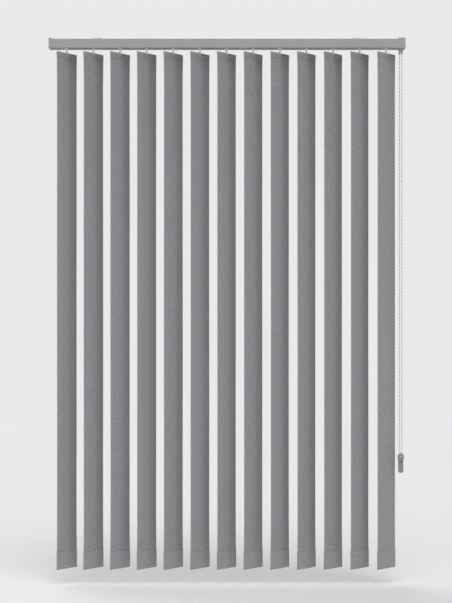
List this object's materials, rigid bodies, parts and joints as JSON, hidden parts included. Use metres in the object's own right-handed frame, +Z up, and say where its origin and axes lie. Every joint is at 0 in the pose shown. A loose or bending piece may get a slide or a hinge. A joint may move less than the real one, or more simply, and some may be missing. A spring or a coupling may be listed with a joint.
{
  "type": "vertical blind",
  "caption": "Vertical blind with hemmed grey fabric louvres on geared hooks, a slotted headrail with end caps, ceiling brackets and a weighted bead chain loop that tilts the louvres.",
  "frame": {"origin": "on the ceiling plane, midway between the two screw holes of the ceiling brackets", "axes": "+Z up along the louvres, X along the headrail with the control side at +X, -Y toward the room"},
  "size_m": [1.042, 0.0748, 1.553],
  "materials": {
    "rail": "satin grey powder coat",
    "bracket_steel": "zinc-plated spring steel",
    "cap_plastic": "satin grey plastic",
    "rod_metal": "extruded aluminium",
    "gear_plastic": "moulded white plastic",
    "axle_steel": "ground steel",
    "chain_plastic": "light grey plastic beads",
    "weight_plastic": "grey moulded plastic",
    "carrier_plastic": "moulded grey plastic",
    "hook_plastic": "moulded light grey plastic",
    "fabric": "plain woven grey fabric"
  },
  "bodies": {
    "headrail": {"headrail": "rail", "bracket_left": "bracket_steel", "bracket_right": "bracket_steel", "idler_end_cap": "cap_plastic", "control_housing": "cap_plastic", "wheel_axle": "axle_steel", "chain_guide": "cap_plastic", "control_chain": "chain_plastic", "chain_connector": "chain_plastic", "chain_weight_front": "weight_plastic", "chain_weight_back": "weight_plastic", "weight_pin": "axle_steel", "carrier_13": "carrier_plastic"},
    "tilt_rod": {"tilt_rod": "rod_metal", "rod_pinion": "gear_plastic"},
    "chain_wheel": {"chain_wheel": "gear_plastic"},
    "carrier_01": {"carrier_01": "carrier_plastic"},
    "carrier_02": {"carrier_02": "carrier_plastic"},
    "carrier_03": {"carrier_03": "carrier_plastic"},
    "carrier_04": {"carrier_04": "carrier_plastic"},
    "carrier_05": {"carrier_05": "carrier_plastic"},
    "carrier_06": {"carrier_06": "carrier_plastic"},
    "carrier_07": {"carrier_07": "carrier_plastic"},
    "carrier_08": {"carrier_08": "carrier_plastic"},
    "carrier_09": {"carrier_09": "carrier_plastic"},
    "carrier_10": {"carrier_10": "carrier_plastic"},
    "carrier_11": {"carrier_11": "carrier_plastic"},
    "carrier_12": {"carrier_12": "carrier_plastic"},
    "vane_01": {"hook_01": "hook_plastic", "louvre_01": "fabric"},
    "vane_02": {"hook_02": "hook_plastic", "louvre_02": "fabric"},
    "vane_03": {"hook_03": "hook_plastic", "louvre_03": "fabric"},
    "vane_04": {"hook_04": "hook_plastic", "louvre_04": "fabric"},
    "vane_05": {"hook_05": "hook_plastic", "louvre_05": "fabric"},
    "vane_06": {"hook_06": "hook_plastic", "louvre_06": "fabric"},
    "vane_07": {"hook_07": "hook_plastic", "louvre_07": "fabric"},
    "vane_08": {"hook_08": "hook_plastic", "louvre_08": "fabric"},
    "vane_09": {"hook_09": "hook_plastic", "louvre_09": "fabric"},
    "vane_10": {"hook_10": "hook_plastic", "louvre_10": "fabric"},
    "vane_11": {"hook_11": "hook_plastic", "louvre_11": "fabric"},
    "vane_12": {"hook_12": "hook_plastic", "louvre_12": "fabric"},
    "vane_13": {"hook_13": "hook_plastic", "louvre_13": "fabric"}
  },
  "joints": [
    {"name": "traverse_01", "type": "slide", "parent": "headrail", "child": "carrier_01", "axis": [1, 0, 0], "range_m": [0, 0.714]},
    {"name": "traverse_02", "type": "slide", "parent": "headrail", "child": "carrier_02", "axis": [1, 0, 0], "range_m": [0, 0.6545]},
    {"name": "traverse_03", "type": "slide", "parent": "headrail", "child": "carrier_03", "axis": [1, 0, 0], "range_m": [0, 0.595]},
    {"name": "traverse_04", "type": "slide", "parent": "headrail", "child": "carrier_04", "axis": [1, 0, 0], "range_m": [0, 0.5355]},
    {"name": "traverse_05", "type": "slide", "parent": "headrail", "child": "carrier_05", "axis": [1, 0, 0], "range_m": [0, 0.476]},
    {"name": "traverse_06", "type": "slide", "parent": "headrail", "child": "carrier_06", "axis": [1, 0, 0], "range_m": [0, 0.4165]},
    {"name": "traverse_07", "type": "slide", "parent": "headrail", "child": "carrier_07", "axis": [1, 0, 0], "range_m": [0, 0.357]},
    {"name": "traverse_08", "type": "slide", "parent": "headrail", "child": "carrier_08", "axis": [1, 0, 0], "range_m": [0, 0.2975]},
    {"name": "traverse_09", "type": "slide", "parent": "headrail", "child": "carrier_09", "axis": [1, 0, 0], "range_m": [0, 0.238]},
    {"name": "traverse_10", "type": "slide", "parent": "headrail", "child": "carrier_10", "axis": [1, 0, 0], "range_m": [0, 0.1785]},
    {"name": "traverse_11", "type": "slide", "parent": "headrail", "child": "carrier_11", "axis": [1, 0, 0], "range_m": [0, 0.119]},
    {"name": "traverse_12", "type": "slide", "parent": "headrail", "child": "carrier_12", "axis": [1, 0, 0], "range_m": [0, 0.0595]},
    {"name": "tilt_01", "type": "hinge", "parent": "carrier_01", "child": "vane_01", "pos_m": [-0.4695, 0, 0], "axis": [0, 0, 1], "range_deg": [-39.5, 113.5]},
    {"name": "tilt_02", "type": "hinge", "parent": "carrier_02", "child": "vane_02", "pos_m": [-0.3915, 0, 0], "axis": [0, 0, 1], "range_deg": [-39.5, 113.5]},
    {"name": "tilt_03", "type": "hinge", "parent": "carrier_03", "child": "vane_03", "pos_m": [-0.3135, 0, 0], "axis": [0, 0, 1], "range_deg": [-39.5, 113.5]},
    {"name": "tilt_04", "type": "hinge", "parent": "carrier_04", "child": "vane_04", "pos_m": [-0.2355, 0, 0], "axis": [0, 0, 1], "range_deg": [-39.5, 113.5]},
    {"name": "tilt_05", "type": "hinge", "parent": "carrier_05", "child": "vane_05", "pos_m": [-0.1575, 0, 0], "axis": [0, 0, 1], "range_deg": [-39.5, 113.5]},
    {"name": "tilt_06", "type": "hinge", "parent": "carrier_06", "child": "vane_06", "pos_m": [-0.0795, 0, 0], "axis": [0, 0, 1], "range_deg": [-39.5, 113.5]},
    {"name": "tilt_07", "type": "hinge", "parent": "carrier_07", "child": "vane_07", "pos_m": [-0.0015, 0, 0], "axis": [0, 0, 1], "range_deg": [-39.5, 113.5]},
    {"name": "tilt_08", "type": "hinge", "parent": "carrier_08", "child": "vane_08", "pos_m": [0.0765, 0, 0], "axis": [0, 0, 1], "range_deg": [-39.5, 113.5]},
    {"name": "tilt_09", "type": "hinge", "parent": "carrier_09", "child": "vane_09", "pos_m": [0.1545, 0, 0], "axis": [0, 0, 1], "range_deg": [-39.5, 113.5]},
    {"name": "tilt_10", "type": "hinge", "parent": "carrier_10", "child": "vane_10", "pos_m": [0.2325, 0, 0], "axis": [0, 0, 1], "range_deg": [-39.5, 113.5]},
    {"name": "tilt_11", "type": "hinge", "parent": "carrier_11", "child": "vane_11", "pos_m": [0.3105, 0, 0], "axis": [0, 0, 1], "range_deg": [-39.5, 113.5]},
    {"name": "tilt_12", "type": "hinge", "parent": "carrier_12", "child": "vane_12", "pos_m": [0.3885, 0, 0], "axis": [0, 0, 1], "range_deg": [-39.5, 113.5]},
    {"name": "tilt_13", "type": "hinge", "parent": "headrail", "child": "vane_13", "pos_m": [0.4665, 0, 0], "axis": [0, 0, 1], "range_deg": [-39.5, 113.5]},
    {"name": "rod_turn", "type": "hinge", "parent": "headrail", "child": "tilt_rod", "pos_m": [0.5086, 0.0095, -0.02], "axis": [1, 0, 0], "range_deg": [-237, 681]},
    {"name": "wheel_turn", "type": "hinge", "parent": "headrail", "child": "chain_wheel", "pos_m": [0.5086, 0, -0.02], "axis": [0, 1, 0], "range_deg": [-681, 237]}
  ],
  "couplings": [
    {"joint": "traverse_02", "follows": "traverse_01", "ratio": 0.91667},
    {"joint": "traverse_03", "follows": "traverse_01", "ratio": 0.83333},
    {"joint": "traverse_04", "follows": "traverse_01", "ratio": 0.75},
    {"joint": "traverse_05", "follows": "traverse_01", "ratio": 0.66667},
    {"joint": "traverse_06", "follows": "traverse_01", "ratio": 0.58333},
    {"joint": "traverse_07", "follows": "traverse_01", "ratio": 0.5},
    {"joint": "traverse_08", "follows": "traverse_01", "ratio": 0.41667},
    {"joint": "traverse_09", "follows": "traverse_01", "ratio": 0.33333},
    {"joint": "traverse_10", "follows": "traverse_01", "ratio": 0.25},
    {"joint": "traverse_11", "follows": "traverse_01", "ratio": 0.16667},
    {"joint": "traverse_12", "follows": "traverse_01", "ratio": 0.083333},
    {"joint": "tilt_02", "follows": "tilt_01", "ratio": 1},
    {"joint": "tilt_03", "follows": "tilt_01", "ratio": 1},
    {"joint": "tilt_04", "follows": "tilt_01", "ratio": 1},
    {"joint": "tilt_05", "follows": "tilt_01", "ratio": 1},
    {"joint": "tilt_06", "follows": "tilt_01", "ratio": 1},
    {"joint": "tilt_07", "follows": "tilt_01", "ratio": 1},
    {"joint": "tilt_08", "follows": "tilt_01", "ratio": 1},
    {"joint": "tilt_09", "follows": "tilt_01", "ratio": 1},
    {"joint": "tilt_10", "follows": "tilt_01", "ratio": 1},
    {"joint": "tilt_11", "follows": "tilt_01", "ratio": 1},
    {"joint": "tilt_12", "follows": "tilt_01", "ratio": 1},
    {"joint": "tilt_13", "follows": "tilt_01", "ratio": 1},
    {"joint": "rod_turn", "follows": "tilt_01", "ratio": 6},
    {"joint": "wheel_turn", "follows": "tilt_01", "ratio": -6}
  ]
}
